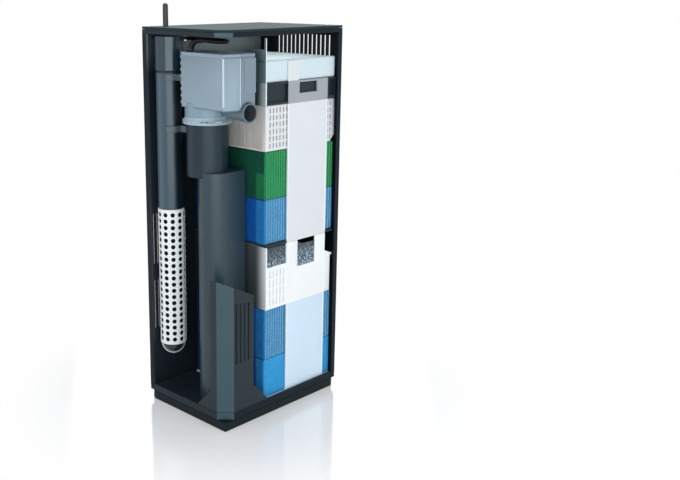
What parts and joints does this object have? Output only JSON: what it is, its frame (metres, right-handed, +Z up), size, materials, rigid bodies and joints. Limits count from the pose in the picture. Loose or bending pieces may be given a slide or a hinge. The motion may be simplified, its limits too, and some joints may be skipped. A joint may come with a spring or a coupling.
{
  "type": "aquarium internal filter",
  "caption": "In-tank box filter with two sides cut open, showing its heater, pump on a suction pillar, and stacked media baskets; lift-off cover and mains lead.",
  "frame": {"origin": "middle of the housing's footprint, on the surface that the plinth stands on", "axes": "+Z up; -Y is the open side with the heater and pump; +X is the open side with the filter media; the two whole walls are at -X and +Y"},
  "size_m": [0.2204, 0.184, 0.4603],
  "materials": {
    "slate_plastic": "fine satin moulded plastic, dark slate",
    "slate_light_plastic": "satin moulded plastic, slate a little lighter",
    "pump_plastic": "smooth satin light blue-grey plastic",
    "volute_plastic": "smooth satin pale blue-grey plastic",
    "white_plastic": "smooth white plastic",
    "basket_plastic": "pale grey to white plastic",
    "green_foam": "open-cell foam, green",
    "blue_foam": "open-cell foam, blue, coarse",
    "bright_blue_foam": "open-cell foam, blue, fine",
    "floss": "white filter floss",
    "ceramic_granules": "porous grey ceramic granules",
    "active_carbon": "black carbon granules",
    "heater_glass": "clear glass",
    "ceramic": "fired ceramic",
    "dark_ceramic": "dark sintered heating body",
    "lamination_steel": "bare laminations",
    "copper": "enamelled copper",
    "magnet": "black ferrite in plastic",
    "rubber": "black flexible plastic",
    "black_plastic": "black satin plastic"
  },
  "bodies": {
    "root": {"base_plinth": "slate_plastic", "floor_pan": "slate_plastic", "side_wall": "slate_plastic", "back_wall": "slate_plastic", "corner_shell": "slate_light_plastic", "top_frame": "slate_plastic", "suction_pillar": "slate_light_plastic", "heater_clip_upper": "slate_light_plastic", "heater_clip_lower": "slate_light_plastic", "pump_housing": "pump_plastic", "pump_volute": "volute_plastic", "volute_flange": "volute_plastic", "intake_sleeve": "slate_light_plastic", "outlet_nozzle": "slate_light_plastic", "impeller_shaft": "ceramic", "shaft_bush_lower": "rubber", "shaft_bush_upper": "rubber", "stator_core": "lamination_steel", "stator_coil": "copper", "lead_gland": "rubber", "lead_run": "rubber", "lead_coil": "rubber", "mains_plug": "black_plastic"},
    "cover": {"top_cover": "slate_light_plastic"},
    "heater": {"heater_tube": "heater_glass", "heater_seal": "rubber", "heater_cap": "slate_light_plastic", "heater_guard": "white_plastic", "heating_core": "dark_ceramic", "thermostat": "copper"},
    "spindle": {"temperature_spindle": "black_plastic"},
    "impeller": {"impeller": "magnet"},
    "lower_media": {"lower_basket": "basket_plastic", "lower_fine_pad": "bright_blue_foam", "lower_coarse_pad": "blue_foam", "ceramic_granules": "ceramic_granules"},
    "upper_media": {"upper_basket": "basket_plastic", "upper_fine_pad": "blue_foam", "nitrate_pad": "green_foam", "carbon_cartridge": "white_plastic", "carbon_fill": "active_carbon"},
    "floss": {"floss_pad": "floss"}
  },
  "joints": [
    {"name": "cover_lift", "type": "slide", "parent": "root", "child": "cover", "axis": [0, 0, 1], "range_m": [0, 0.12]},
    {"name": "floss_lift", "type": "slide", "parent": "root", "child": "floss", "axis": [0, 0, 1], "range_m": [0, 0.108]},
    {"name": "upper_basket_lift", "type": "slide", "parent": "root", "child": "upper_media", "axis": [0, 0, 1], "range_m": [0, 0.084]},
    {"name": "lower_basket_lift", "type": "slide", "parent": "root", "child": "lower_media", "axis": [0, 0, 1], "range_m": [0, 0.036]},
    {"name": "heater_lift", "type": "slide", "parent": "root", "child": "heater", "axis": [0, 0, 1], "range_m": [0, 0.06]},
    {"name": "temperature_turn", "type": "hinge", "parent": "heater", "child": "spindle", "pos_m": [-0.0485, -0.072, 0.44], "axis": [0, 0, 1], "range_deg": [-135, 135]},
    {"name": "impeller_spin", "type": "hinge", "parent": "root", "child": "impeller", "pos_m": [0, -0.056, 0.36], "axis": [0, 0, 1], "continuous": true}
  ],
  "couplings": [
    {"joint": "floss_lift", "follows": "cover_lift", "ratio": 0.9},
    {"joint": "upper_basket_lift", "follows": "cover_lift", "ratio": 0.7},
    {"joint": "lower_basket_lift", "follows": "cover_lift", "ratio": 0.3},
    {"joint": "heater_lift", "follows": "cover_lift", "ratio": 0.5}
  ]
}
